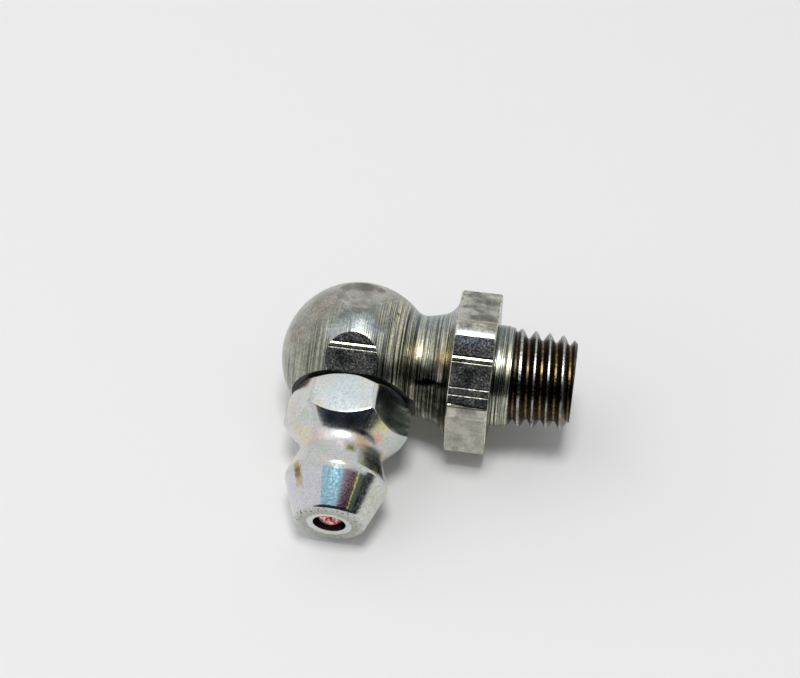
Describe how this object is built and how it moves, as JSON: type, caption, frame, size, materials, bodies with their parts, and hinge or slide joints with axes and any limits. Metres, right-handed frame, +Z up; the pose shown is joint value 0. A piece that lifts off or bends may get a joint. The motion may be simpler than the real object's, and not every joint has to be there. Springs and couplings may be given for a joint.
{
  "type": "grease nipple",
  "caption": "Right-angle grease nipple: ball elbow with hexagon flange and taper-thread shank, and a pressed-in hexagon coupler head with a spring-loaded check ball.",
  "frame": {"origin": "where the flange's thread-side face crosses the thread axis", "axes": "+Z up as the fitting lies on a flat surface, on its ball, the rim of the coupler head and one corner of the flange; +X along the level projection of the thread axis, towards the thread's end; the nipple points towards -Y and dips 11 degrees"},
  "size_m": [0.0193, 0.0175, 0.0106],
  "materials": {
    "elbow_steel": "turned free-cutting steel with a dull grey-olive plating, fine rings from the tool, bright drawn flats",
    "zinc_plated_steel": "bright zinc plating with a bluish-white, faintly iridescent passivation",
    "check_ball_steel": "polished steel ball with a copper-red wash",
    "spring_wire": "drawn spring wire"
  },
  "bodies": {
    "fitting": {"elbow_body": "elbow_steel", "nipple_head": "zinc_plated_steel", "ball_spring": "spring_wire"},
    "valve_ball": {"check_ball": "check_ball_steel"}
  },
  "joints": [
    {"name": "check_ball_slide", "type": "slide", "parent": "fitting", "child": "valve_ball", "axis": [-0.0062, 0.9814, 0.1921], "range_m": [0, 0.0012], "stiffness_N_per_m": 1310, "springref_m": -0.001, "deforming": ["ball_spring"]}
  ]
}
